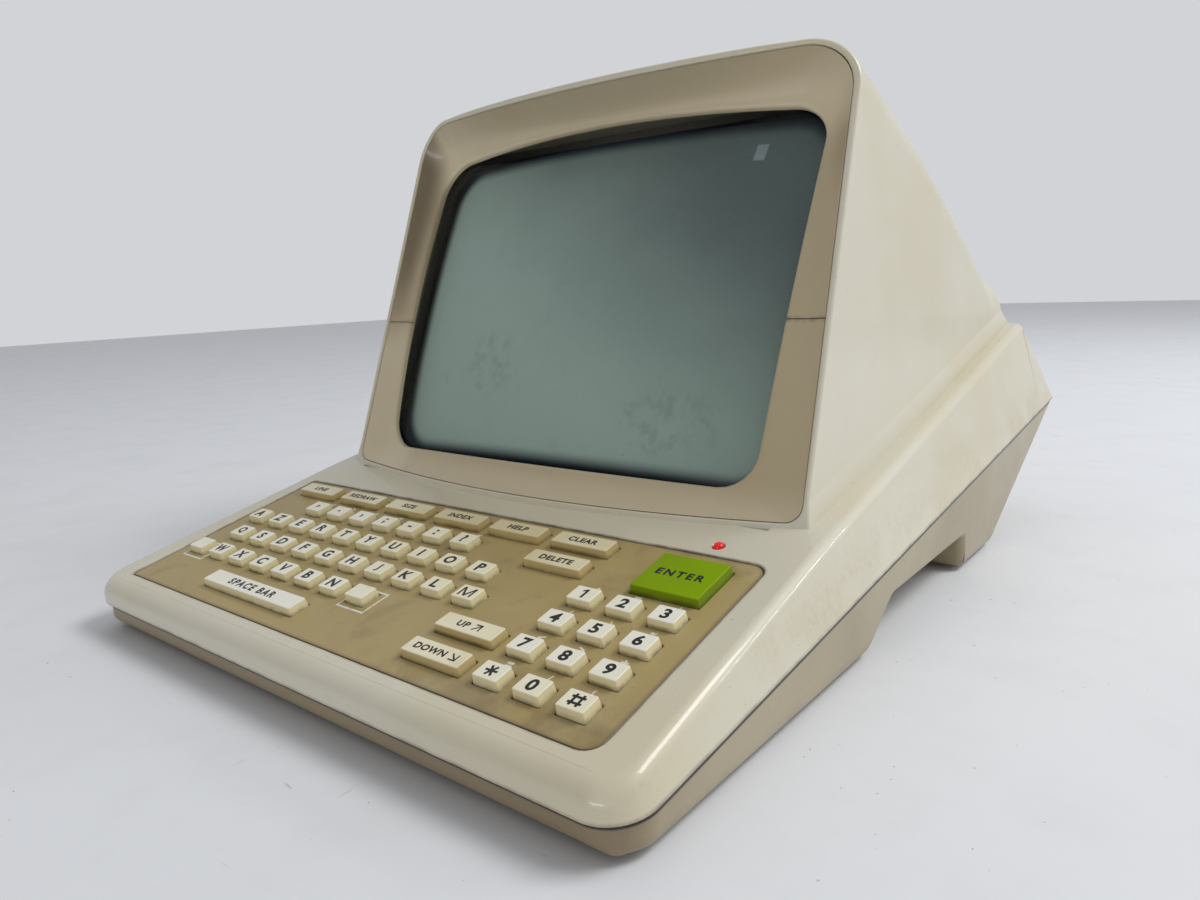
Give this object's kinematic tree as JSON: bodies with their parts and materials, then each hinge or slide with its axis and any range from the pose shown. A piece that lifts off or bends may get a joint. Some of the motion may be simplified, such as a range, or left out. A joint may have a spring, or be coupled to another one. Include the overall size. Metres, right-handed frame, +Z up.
{
  "type": "computer terminal",
  "caption": "Desk-top computer terminal: wedge-shaped two-tone case, hooded picture tube with a bowed bezel, fixed keyboard with number pad and large send key.",
  "frame": {"origin": "on the table, under the middle of the case", "axes": "+Y from the keyboard's front edge to the back, +X to the user's right, +Z up"},
  "size_m": [0.25, 0.3574, 0.1941],
  "materials": {
    "ivory_shell": "semi-gloss moulded plastic, slightly yellowed",
    "tan_shell": "satin moulded plastic",
    "mocha_bezel": "satin moulded plastic",
    "khaki_plate": "matt, worn and stained",
    "ivory_key": "satin moulded plastic",
    "beige_key": "satin moulded plastic",
    "green_key": "satin moulded plastic",
    "tube_glass": "polished, grey tinted",
    "zinc_steel": "zinc plated",
    "aluminium": "extruded",
    "copper_winding": "enamelled wire",
    "circuit_board": "resin board",
    "black_plastic": "moulded",
    "black_rubber": "moulded",
    "red_lamp": "clear red lens",
    "contact_sheet": "flexible sheet"
  },
  "bodies": {
    "case": {"upper_shell": "ivory_shell", "lower_shell": "tan_shell", "bezel_upper": "mocha_bezel", "bezel_lower": "mocha_bezel", "keyboard_plate": "khaki_plate", "keyboard_board": "circuit_board", "contact_sheet": "contact_sheet", "status_led": "red_lamp", "picture_tube": "tube_glass", "tension_band": "zinc_steel", "deflection_yoke": "copper_winding", "neck_board": "circuit_board", "main_board": "circuit_board", "modem_module": "black_plastic", "mains_transformer": "zinc_steel", "flyback_transformer": "black_plastic", "heat_sink": "aluminium", "buzzer": "black_plastic", "power_switch": "black_plastic", "brightness_dial": "zinc_steel", "accessory_socket": "black_plastic", "mains_gland": "black_rubber", "phone_gland": "black_rubber", "rubber_pad_1": "black_rubber", "rubber_pad_2": "black_rubber", "rubber_pad_3": "black_rubber", "rubber_pad_4": "black_rubber", "case_screw_1": "zinc_steel", "case_screw_2": "zinc_steel", "case_screw_3": "zinc_steel", "case_screw_4": "zinc_steel"},
    "lower_letters": {"lower_letter_row": "ivory_key"},
    "home_letters": {"home_letter_row": "ivory_key"},
    "upper_letters": {"upper_letter_row": "ivory_key"},
    "punctuation": {"punctuation_row": "ivory_key"},
    "space": {"space_bar": "ivory_key"},
    "digit_0": {"key_0": "ivory_key"},
    "digit_1": {"key_1": "ivory_key"},
    "digit_2": {"key_2": "ivory_key"},
    "digit_3": {"key_3": "ivory_key"},
    "digit_4": {"key_4": "ivory_key"},
    "digit_5": {"key_5": "ivory_key"},
    "digit_6": {"key_6": "ivory_key"},
    "digit_7": {"key_7": "ivory_key"},
    "digit_8": {"key_8": "ivory_key"},
    "digit_9": {"key_9": "ivory_key"},
    "star": {"key_star": "ivory_key"},
    "hash": {"key_hash": "ivory_key"},
    "next": {"next_key": "beige_key"},
    "back": {"back_key": "beige_key"},
    "correction": {"correction_key": "beige_key"},
    "connect": {"connect_key": "beige_key"},
    "repeat": {"repeat_key": "beige_key"},
    "zoom": {"zoom_key": "beige_key"},
    "index": {"index_key": "beige_key"},
    "guide": {"guide_key": "beige_key"},
    "cancel": {"cancel_key": "beige_key"},
    "send": {"send_key": "green_key"},
    "power": {"power_button": "black_plastic"},
    "brightness": {"brightness_knob": "black_plastic"}
  },
  "joints": [
    {"name": "lower_letters_press", "type": "slide", "parent": "case", "child": "lower_letters", "axis": [0, 0.2334, -0.9724], "range_m": [0, 0.0018], "stiffness_N_per_m": 600, "springref_m": -0.001},
    {"name": "home_letters_press", "type": "slide", "parent": "case", "child": "home_letters", "axis": [0, 0.2334, -0.9724], "range_m": [0, 0.0018], "stiffness_N_per_m": 600, "springref_m": -0.001},
    {"name": "upper_letters_press", "type": "slide", "parent": "case", "child": "upper_letters", "axis": [0, 0.2334, -0.9724], "range_m": [0, 0.0018], "stiffness_N_per_m": 600, "springref_m": -0.001},
    {"name": "punctuation_press", "type": "slide", "parent": "case", "child": "punctuation", "axis": [0, 0.2334, -0.9724], "range_m": [0, 0.0018], "stiffness_N_per_m": 600, "springref_m": -0.001},
    {"name": "space_press", "type": "slide", "parent": "case", "child": "space", "axis": [0, 0.2334, -0.9724], "range_m": [0, 0.0018], "stiffness_N_per_m": 300, "springref_m": -0.001},
    {"name": "digit_0_press", "type": "slide", "parent": "case", "child": "digit_0", "axis": [0, 0.2334, -0.9724], "range_m": [0, 0.0018], "stiffness_N_per_m": 200, "springref_m": -0.001},
    {"name": "digit_1_press", "type": "slide", "parent": "case", "child": "digit_1", "axis": [0, 0.2334, -0.9724], "range_m": [0, 0.0018], "stiffness_N_per_m": 200, "springref_m": -0.001},
    {"name": "digit_2_press", "type": "slide", "parent": "case", "child": "digit_2", "axis": [0, 0.2334, -0.9724], "range_m": [0, 0.0018], "stiffness_N_per_m": 200, "springref_m": -0.001},
    {"name": "digit_3_press", "type": "slide", "parent": "case", "child": "digit_3", "axis": [0, 0.2334, -0.9724], "range_m": [0, 0.0018], "stiffness_N_per_m": 200, "springref_m": -0.001},
    {"name": "digit_4_press", "type": "slide", "parent": "case", "child": "digit_4", "axis": [0, 0.2334, -0.9724], "range_m": [0, 0.0018], "stiffness_N_per_m": 200, "springref_m": -0.001},
    {"name": "digit_5_press", "type": "slide", "parent": "case", "child": "digit_5", "axis": [0, 0.2334, -0.9724], "range_m": [0, 0.0018], "stiffness_N_per_m": 200, "springref_m": -0.001},
    {"name": "digit_6_press", "type": "slide", "parent": "case", "child": "digit_6", "axis": [0, 0.2334, -0.9724], "range_m": [0, 0.0018], "stiffness_N_per_m": 200, "springref_m": -0.001},
    {"name": "digit_7_press", "type": "slide", "parent": "case", "child": "digit_7", "axis": [0, 0.2334, -0.9724], "range_m": [0, 0.0018], "stiffness_N_per_m": 200, "springref_m": -0.001},
    {"name": "digit_8_press", "type": "slide", "parent": "case", "child": "digit_8", "axis": [0, 0.2334, -0.9724], "range_m": [0, 0.0018], "stiffness_N_per_m": 200, "springref_m": -0.001},
    {"name": "digit_9_press", "type": "slide", "parent": "case", "child": "digit_9", "axis": [0, 0.2334, -0.9724], "range_m": [0, 0.0018], "stiffness_N_per_m": 200, "springref_m": -0.001},
    {"name": "star_press", "type": "slide", "parent": "case", "child": "star", "axis": [0, 0.2334, -0.9724], "range_m": [0, 0.0018], "stiffness_N_per_m": 200, "springref_m": -0.001},
    {"name": "hash_press", "type": "slide", "parent": "case", "child": "hash", "axis": [0, 0.2334, -0.9724], "range_m": [0, 0.0018], "stiffness_N_per_m": 200, "springref_m": -0.001},
    {"name": "next_press", "type": "slide", "parent": "case", "child": "next", "axis": [0, 0.2334, -0.9724], "range_m": [0, 0.0018], "stiffness_N_per_m": 200, "springref_m": -0.001},
    {"name": "back_press", "type": "slide", "parent": "case", "child": "back", "axis": [0, 0.2334, -0.9724], "range_m": [0, 0.0018], "stiffness_N_per_m": 200, "springref_m": -0.001},
    {"name": "correction_press", "type": "slide", "parent": "case", "child": "correction", "axis": [0, 0.2334, -0.9724], "range_m": [0, 0.0018], "stiffness_N_per_m": 200, "springref_m": -0.001},
    {"name": "connect_press", "type": "slide", "parent": "case", "child": "connect", "axis": [0, 0.2334, -0.9724], "range_m": [0, 0.0018], "stiffness_N_per_m": 200, "springref_m": -0.001},
    {"name": "repeat_press", "type": "slide", "parent": "case", "child": "repeat", "axis": [0, 0.2334, -0.9724], "range_m": [0, 0.0018], "stiffness_N_per_m": 200, "springref_m": -0.001},
    {"name": "zoom_press", "type": "slide", "parent": "case", "child": "zoom", "axis": [0, 0.2334, -0.9724], "range_m": [0, 0.0018], "stiffness_N_per_m": 200, "springref_m": -0.001},
    {"name": "index_press", "type": "slide", "parent": "case", "child": "index", "axis": [0, 0.2334, -0.9724], "range_m": [0, 0.0018], "stiffness_N_per_m": 200, "springref_m": -0.001},
    {"name": "guide_press", "type": "slide", "parent": "case", "child": "guide", "axis": [0, 0.2334, -0.9724], "range_m": [0, 0.0018], "stiffness_N_per_m": 200, "springref_m": -0.001},
    {"name": "cancel_press", "type": "slide", "parent": "case", "child": "cancel", "axis": [0, 0.2334, -0.9724], "range_m": [0, 0.0018], "stiffness_N_per_m": 200, "springref_m": -0.001},
    {"name": "send_press", "type": "slide", "parent": "case", "child": "send", "axis": [0, 0.2334, -0.9724], "range_m": [0, 0.0018], "stiffness_N_per_m": 300, "springref_m": -0.001},
    {"name": "power_press", "type": "slide", "parent": "case", "child": "power", "axis": [0, -0.8526, -0.5225], "range_m": [0, 0.003], "stiffness_N_per_m": 400, "springref_m": -0.002},
    {"name": "brightness_turn", "type": "hinge", "parent": "case", "child": "brightness", "pos_m": [0.052, 0.16709, 0.07352], "axis": [0, 0.8526, 0.5225], "range_deg": [-140, 140]}
  ]
}
